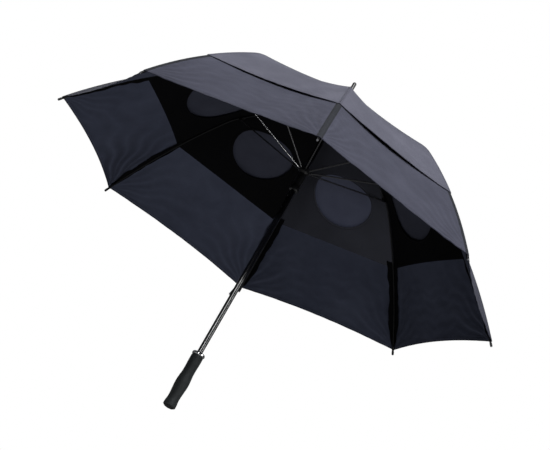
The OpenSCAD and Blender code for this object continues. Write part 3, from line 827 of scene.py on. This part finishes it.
def half_gore_piece(gore, side, rib, tag, piece):
    name, layer, part, skins, station, plane, make_patch = piece
    y, along, patch_faces = make_patch(-side)
    points, faces = shell(y, along, patch_faces, layer, gore, part == "inner")
    y, along = np.tile(y, 2), np.tile(along, 2)
    half_width = width(along, layer)
    attributes = cloth_attributes(y, along, layer.hem - along, half_width - np.abs(y))
    # painted shade for the fabric shader, taken from the corner folds' height
    attributes["painted_fold_shade"] = np.clip(
        corner_folds(y, along, half_width, gore, layer) / 1.6, -1, 1)
    outside = len(patch_faces)
    skin_of_face = [0] * outside + [len(skins) - 1] * (len(faces) - outside)
    obj = build(f"{name}_{gore}{tag}", points, faces, skins, 50.0, attributes,
                skin_of_face, middle_angle(rib, side))
    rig.ride(obj, f"rib_{part}_{rib}")
    axis, anchor = fold_plane(rib, side, layer, station, *plane)
    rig.squash(obj, "canopy_fold", axis=axis, anchor=anchor, keep=FOLD_KEEP)
    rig.slot(obj, layer.slot)
    if part == "inner" and side > 0:
        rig.replaces(obj, f"{layer.cad_name}_{gore}")


for half in HALVES:
    for piece in PIECES:
        half_gore_piece(*half, piece)


# ---------------------------------------------------------------- crown patch
def crown_patch():
    """closed ring of cloth at the centre of the upper layer"""
    per_gore = 12
    ring = RIBS * per_gore
    stations = np.linspace(-14, 7, 9)
    along = np.repeat(stations, ring)
    column = np.tile(np.arange(ring), len(stations))
    y = (2 * (column % per_gore) / per_gore - 1) * width(along, UPPER)
    sheets = []
    for outward in (0.75, -0.1):
        sheet = np.zeros((len(along), 3))
        for gore in range(1, RIBS + 1):
            mine = column // per_gore == gore - 1
            sheet[mine] = turn_z(cloth(y[mine], along[mine], outward, UPPER, gore),
                                 middle_angle(gore))
        sheets.append(sheet)
    points = np.vstack(sheets)
    back = len(along)
    last = len(stations) - 1
    faces = []
    for row in range(last):
        a = row * ring
        for i in range(ring):
            j = (i + 1) % ring
            quad = (a + i, a + ring + i, a + ring + j, a + j)
            faces += [quad, tuple(back + v for v in reversed(quad))]
    for row in (0, last):
        a = row * ring
        rim = [(a + i, a + (i + 1) % ring, back + a + (i + 1) % ring, back + a + i)
               for i in range(ring)]
        faces += flip(rim) if row else rim
    along = np.tile(along, 2)
    obj = build("crown_patch", points, faces, [SLATE], 60.0,
                cloth_attributes(points[:, 1], along, 33 - along, 30))
    attach(obj, "shaft_group", "canopy_upper")


crown_patch()


# ---------------------------------------------------------------- strips over the ribs
def rib_strip(name, rib, layer, part, start, stop, half_width, lift, material):
    """narrow cloth strip folded over the ridge along a rib"""
    shares = np.array([-1.0, -0.8, -0.5, -0.2, 0.0, 0.2, 0.5, 0.8, 1.0])
    rows = int((stop - start) / 7)
    along = np.repeat(np.linspace(start, stop, rows + 1), len(shares))
    share = np.tile(shares, rows + 1)
    y = width(along, layer) - np.abs(share) * half_width
    sides = ((share < 0, (rib - 2) % RIBS + 1, 1.0), (share >= 0, rib, -1.0))
    sheets = []
    for middle_thick, edge_thick in ((0.45, 0.10), (0.0, 0.0)):
        outward = np.where(np.abs(share) == 1.0, lift + edge_thick, lift + middle_thick)
        sheet = np.zeros((len(along), 3))
        for mine, gore, sign in sides:
            sheet[mine] = turn_z(
                cloth(y[mine] * sign, along[mine], outward[mine], layer, gore),
                middle_angle(gore))
        sheets.append(sheet)
    across = np.tile(share * half_width, 2)
    obj = build(f"{name}_{rib}", np.vstack(sheets), sheet_faces(rows, len(shares)),
                [material], 60.0,
                cloth_attributes(across, np.tile(along, 2), 40,
                                 half_width - np.abs(across) + 1.5))
    attach(obj, f"rib_{part}_{rib}", layer.slot)


# name, layer, rib part, start and stop along the rib, half width, lift, material
STRIPS = [
    # the strip on the band over each rib is darkened partly as painted shade of the fold there
    ("band_tape", LOWER, "outer", AT_SEAM - 30, AT_HEM - 1, 8.5, 0.3, TAPE_AND_FOLD_SHADE),
    ("ridge_seam_in", UPPER, "inner", 18, AT_JOINT, 2.6, 0.25, SLATE),
    ("ridge_seam_out", UPPER, "outer", AT_JOINT, UPPER.hem, 2.6, 0.25, SLATE),
]
for rib in range(1, RIBS + 1):
    for name, *strip in STRIPS:
        rib_strip(name, rib, *strip)

# ---------------------------------------------------------------- binding round each vent
# section of the binding: (distance outside the vent's edge, height over the cloth)
BINDING = np.array([(-1.2, 0.9), (4.6, 0.9), (5.4, 0.3), (5.4, -0.3), (4.6, -0.9),
                    (-1.2, -0.9), (-1.8, 0.0)])


def vent_binding(gore, side, rib, tag, part):
    """a quarter of a vent's binding, on the inner or outer piece of a half gore"""
    joint = vent_angle(AT_JOINT)
    first, final = (joint, math.pi) if part == "inner" else (0.0, joint)
    segments = 26
    corners = len(BINDING)
    end = -side
    angle = np.repeat(np.linspace(first, final, segments + 1), corners)
    distance, height = np.tile(BINDING, (segments + 1, 1)).T
    y = np.maximum((VENT_R + distance) * np.sin(angle), 0.0) * end
    along = AT_VENT + (VENT_R + distance) * np.cos(angle)
    faces = []
    for row in range(segments):
        a = row * corners
        for i in range(corners):
            j = (i + 1) % corners
            faces.append((a + i, a + j, a + corners + j, a + corners + i))
    faces.append(tuple(range(corners - 1, -1, -1)))
    faces.append(tuple(segments * corners + i for i in range(corners)))
    if end < 0:
        faces = flip(faces)
    place = "in" if part == "inner" else "out"
    obj = build(f"vent_binding_{place}_{gore}{tag}", cloth(y, along, height, LOWER, gore),
                faces, [BLACK], 70.0, cloth_attributes(y, along, 40, 40),
                angle=middle_angle(rib, side))
    host = "vent_inner" if part == "inner" else "vent_edge"
    attach(obj, f"rib_{part}_{rib}", "canopy_lower", f"{host}_{gore}{tag}")


for half in HALVES:
    for part in ("inner", "outer"):
        vent_binding(*half, part)

# ---------------------------------------------------------------- lining along the ribs
LINING_WIDTH = 17.0
# The strip is black cloth. These factors narrow it on gore 7 beside rib 8 and widen it on gore 5 beside rib 6, to
# follow shade beside those ribs; that part of its width is painted shade.
LINING_FACTORS = {(7, -1): 0.4, (5, -1): 1.35}  # (gore, side) to width factor


def lining(gore, side, rib, tag):
    """black strip on the inside of the band, loose at its free edge"""
    stations = np.linspace(AT_SEAM - 12, RIB_LENGTH - 13, 46)
    columns = np.array([0.0, 2.5, 5.0, 7.5, 10.0, 12.5, 15.0, LINING_WIDTH])
    along = np.repeat(stations, len(columns))
    reach = np.tile(columns, len(stations))
    phase = phase_of(gore, side, 11)
    share = reach / LINING_WIDTH
    # the free edge hangs off the cloth in waves up to 2.3 mm deep
    ripple = np.sin(along / 8.5 + phase + 1.9 * np.sin(along / 27.0 + phase) - 1.6 * share)
    outward = -0.95 - 2.3 * (share ** 1.4 * (0.5 + 0.5 * ripple)) - 0.5 * share
    # narrows by up to 60 % over the last 62 mm
    taper = 1 - 0.6 * np.clip((along - RIB_LENGTH + 75) / 62.0, 0, 1) ** 1.3
    reach = reach * LINING_FACTORS.get((gore, side), 1.0) * taper
    ragged = 1.0 + 0.10 * np.sin(along / 23.0 + phase) + 0.05 * np.sin(along / 7.0)
    y = (width(along, LOWER) - reach * ragged) * -side
    points = np.vstack([cloth(y, along, d, LOWER, gore) for d in (outward, outward - 0.4)])
    last, count, back = len(stations) - 1, len(columns), len(along)
    faces = []
    for row in range(last):
        faces += sheet_row(row, count, back) + sheet_sides(row, count, back)
    faces += sheet_ends(last, count, back)
    obj = build(f"lining_{gore}{tag}", points, faces, [BLACK], 60.0,
                cloth_attributes(np.tile(reach, 2), np.tile(along, 2), 40, 40),
                angle=middle_angle(rib, side))
    fix_normals(obj)
    attach(obj, f"rib_outer_{rib}", "canopy_lower", f"band_{gore}{tag}")


for half in HALVES:
    lining(*half)

# ---------------------------------------------------------------- rib tips
# (distance past the rib's end, radius); the last point closes on the axis
SLEEVE = [(-1.5, 2.5), (-1.3, 3.0), (-0.6, 3.15), (6.6, 3.05), (7.3, 2.95), (7.5, 2.7),
          (7.5, 0.0)]
CAP = [(7.55, 2.2), (7.6, 2.7), (7.9, 2.86), (8.3, 2.6), (8.75, 2.1), (9.1, 1.4),
       (9.3, 0.7), (9.35, 0.0)]


def tip_part(name, rib, profile, material):
    """turned part on the axis of a rib's end"""
    segments = 20
    rib_end = rib_point(RIB_LENGTH)
    up = normal(TIP_SLOPE)
    axis = np.array([up[1], -up[0]])
    points = []
    for x, radius in profile[:-1]:
        for i in range(segments):
            angle = 2 * math.pi * i / segments
            r, z = rib_end + axis * x + up * radius * math.cos(angle)
            points.append((r, radius * math.sin(angle), z))
    r, z = rib_end + axis * profile[-1][0]
    points.append((r, 0.0, z))
    apex = len(points) - 1
    faces = []
    for row in range(len(profile) - 2):
        a = row * segments
        for i in range(segments):
            j = (i + 1) % segments
            faces.append((a + i, a + j, a + segments + j, a + segments + i))
    a = (len(profile) - 2) * segments
    faces += [(a + i, a + (i + 1) % segments, apex) for i in range(segments)]
    faces.append(tuple(range(segments - 1, -1, -1)))
    obj = build(f"{name}_{rib}", np.array(points), faces, [material], 45.0,
                angle=rib_angle(rib))
    fix_normals(obj)
    attach(obj, f"rib_outer_{rib}", "tip_grey")


for rib in range(1, RIBS + 1):
    tip_part("tip_sleeve", rib, SLEEVE, TIP_BLACK)
    # the grey cap paints the end-on highlight of each tip
    tip_part("tip_cap", rib, CAP, TIP_GREY_HIGHLIGHT)


# ---------------------------------------------------------------- tie strap
def tie_strap():
    """strap across the outside of gore 7's band, raised beyond y = 24"""
    gore, rows = 7, 40
    columns = np.linspace(-9, 9, 7)
    y = np.repeat(np.linspace(-60, 60, rows + 1), len(columns))
    along = AT_HEM - 34 + np.tile(columns, rows + 1)
    raised = np.where(y > 24, 0.9, 0.0)
    points = np.vstack([cloth(y, along, 0.5 + raised + thick + 0.3, LOWER, gore)
                        for thick in (0.9, 0.0)])
    obj = build("tie_strap_cloth", points, flip(sheet_faces(rows, len(columns))), [BAND],
                50.0, cloth_attributes(points[:, 1], points[:, 2], 30, 30),
                angle=middle_angle(gore))
    attach(obj, "rib_outer_7", "strap", "band_7a")
    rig.replaces(obj, "tie_strap")


tie_strap()

# ---------------------------------------------------------------- camera
# its right, down and forward directions and its place (metres)
RIGHT = np.array([-0.8686481681160036, 0.15591737100161882, 0.47025539172736114])
DOWN = np.array([-0.4952346760903266, -0.2998808016001284, -0.815361343472557])
FORWARD = np.array([0.013891566737394443, -0.9411489139618702, 0.33770659768795264])
EYE = np.array([-0.09145326403805917, 5.945210113800872, -1.5934417002969297])

lens = bpy.data.cameras.new("camera")
lens.lens = 166.6206327
lens.sensor_width = 36.0
lens.clip_end = 100
camera = bpy.data.objects.new("camera", lens)
pose = np.eye(4)
pose[:3] = np.column_stack([RIGHT, -DOWN, -FORWARD, EYE])
camera.matrix_world = Matrix(pose.tolist())
scene.collection.objects.link(camera)
scene.camera = camera


# ---------------------------------------------------------------- floor
def floor_material():
    """pale floor that the camera sees fade to pure white with distance"""
    material, nodes = new_material("floor_pale")
    calc = nodes.calc
    surface = nodes.add("BsdfPrincipled", {"Base Color": (0.82, 0.82, 0.82, 1),
                                           "Roughness": 0.9})
    glow = nodes.add("Emission", {0: (1, 1, 1, 1), 1: 1.0})
    position = nodes.add("NewGeometry").outputs["Position"]
    distance = nodes.add("VectorMath", {0: position}, operation="LENGTH").outputs["Value"]
    # 0.55 white within 3.3 m, then 0.12 more per metre
    beyond = calc("MAXIMUM", calc("SUBTRACT", distance, 3.3), 0.0)
    white = calc("MINIMUM", calc("ADD", calc("MULTIPLY", beyond, 0.12), 0.55), 1.0)
    seen = nodes.add("LightPath").outputs["Is Camera Ray"]
    shader = nodes.mix_shader(calc("MULTIPLY", white, seen), surface, glow)
    nodes.add("OutputMaterial", {0: shader})
    return material


FLOOR_HALF, FLOOR_Z = 40, -3.2  # metres
floor_mesh = bpy.data.meshes.new("floor")
floor_mesh.from_pydata(
    [(x * FLOOR_HALF, y * FLOOR_HALF, FLOOR_Z) for x, y in ((-1, -1), (1, -1), (1, 1), (-1, 1))],
    [], [(0, 1, 2, 3)])
floor = bpy.data.objects.new("floor", floor_mesh)
scene.collection.objects.link(floor)
floor_mesh.materials.append(floor_material())
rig.stage(floor)


# ---------------------------------------------------------------- lights (metres, watts)
def unit(vector):
    return vector / np.linalg.norm(vector)


def add_light(name, place, facing, size, power, size_y=None, colour=(1, 1, 1),
              receivers=None):
    """area light hidden from the camera; with receivers it lights only those"""
    light = bpy.data.lights.new(name, "AREA")
    light.shape = "RECTANGLE"
    light.size = size
    light.size_y = size_y or size
    light.energy = power
    light.color = colour
    obj = bpy.data.objects.new(name, light)
    obj.location = Vector(place)
    obj.rotation_euler = Vector(facing).to_track_quat("-Z", "Y").to_euler()
    scene.collection.objects.link(obj)
    obj.visible_camera = False
    if receivers:
        obj.light_linking.receiver_collection = receivers


def group(name, objects):
    collection = bpy.data.collections.new(name)
    for obj in objects:
        collection.objects.link(obj)
    return collection


def named(*prefixes):
    return [obj for obj in bpy.data.objects if obj.name.startswith(prefixes)]


def strip_light(name, turn, size, power, receivers):
    """tall panel at a bearing (degrees) from the camera's own, 20 degrees up, 4 m away"""
    to_camera = unit(np.array([-FORWARD[0], -FORWARD[1], 0.0]))
    sideways = unit(np.array([FORWARD[1], -FORWARD[0], 0.0]))
    turn, rise = rad(turn), rad(20)
    level = (to_camera * math.cos(turn) + sideways * math.sin(turn)) * math.cos(rise)
    way = level + np.array([0, 0, math.sin(rise)])
    add_light(name, np.array([0.0, 0.0, 0.35]) + way * 4.0, -way, size, power, size_y=3.2,
              receivers=receivers)


glossy_names = ["shaft", "collar", "ferrule"] + [f"stretcher_{k}" for k in range(1, RIBS + 1)]
glossy = group("glossy_parts", [frame["nodes"][name] for name in glossy_names])
strip_light("strip_a", turn=-14, size=0.50, power=110, receivers=glossy)
strip_light("strip_b", turn=58, size=0.34, power=60, receivers=glossy)

SPOT_DISTANCE = 3.0

# mirrored about stretcher 1, so that its highlight runs its whole length
middle = np.array([(ROOT_R + JOINT_R) / 2, 0.0, (RUNNER_Z + JOINT_Z) / 2]) * MM
stretcher = unit(np.array([JOINT_R - ROOT_R, 0.0, JOINT_Z - RUNNER_Z]))
to_camera = unit(EYE - middle)
way = to_camera - 2 * (to_camera @ stretcher) * stretcher
add_light("glint", middle + way * SPOT_DISTANCE, -way, size=1.6, power=260,
          receivers=group("lit_stretcher", [frame["nodes"]["stretcher_1"]]))

# from the camera's side on to gore 6: its vent panel, and the upper layer seen through the vent
vent_parts = group("lit_vent", named("vent_inner_6", "vent_edge_6", "vent_binding_in_6",
                                     "vent_binding_out_6"))
seen_through = group("seen_through_vent", named("top_inner_6", "top_edge_6"))
bearing = middle_angle(6)
middle = np.array([0.33 * math.cos(bearing), 0.33 * math.sin(bearing), 0.80])
way = unit(EYE - middle)
for name, power, receivers in (("under_glow", 350, vent_parts),
                               ("vent_glow", 40, seen_through)):
    add_light(name, middle + way * SPOT_DISTANCE, -way, size=0.8, power=power,
              colour=(0.86, 0.90, 1.0), receivers=receivers)

# name, place from the umbrella's centre (camera's right, up, towards the camera), size, power
CENTRE = np.array([0, 0, 0.66])
for name, (right, up, near), size, power in (
        ("key", (2.6, 2.8, 2.4), 2.2, 200),
        ("top", (0.5, 4.0, 0.6), 2.0, 56),
        ("low", (2.6, -2.4, 2.4), 2.0, 42),
        ("back", (-0.5, 2.2, -4.0), 2.4, 22)):
    place = CENTRE + RIGHT * right - DOWN * up - FORWARD * near
    add_light(name, place, Vector(CENTRE) - Vector(place), size, power)


# ---------------------------------------------------------------- world and render settings
def build_world():
    """white to the camera; to everything else a faint ambient, stronger in reflections"""
    world = bpy.data.worlds.new("world")
    scene.world = world
    nodes = Nodes(world)
    rays = nodes.add("LightPath").outputs
    white = nodes.add("Background", {0: (1, 1, 1, 1), 1: 1.0})
    reflected = nodes.calc("MULTIPLY", rays["Is Glossy Ray"], 0.04)
    ambient = nodes.add("Background", {0: (0.95, 0.97, 1, 1),
                                       1: nodes.calc("ADD", reflected, 0.03)})
    nodes.add("OutputWorld", {0: nodes.mix_shader(rays["Is Camera Ray"], ambient, white)})


build_world()
scene.view_settings.view_transform = "Standard"
scene.cycles.use_denoising = True

json.dump({"cad": cad_box, "visual": plain(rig.bounds())}, open("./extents.json", "w"))
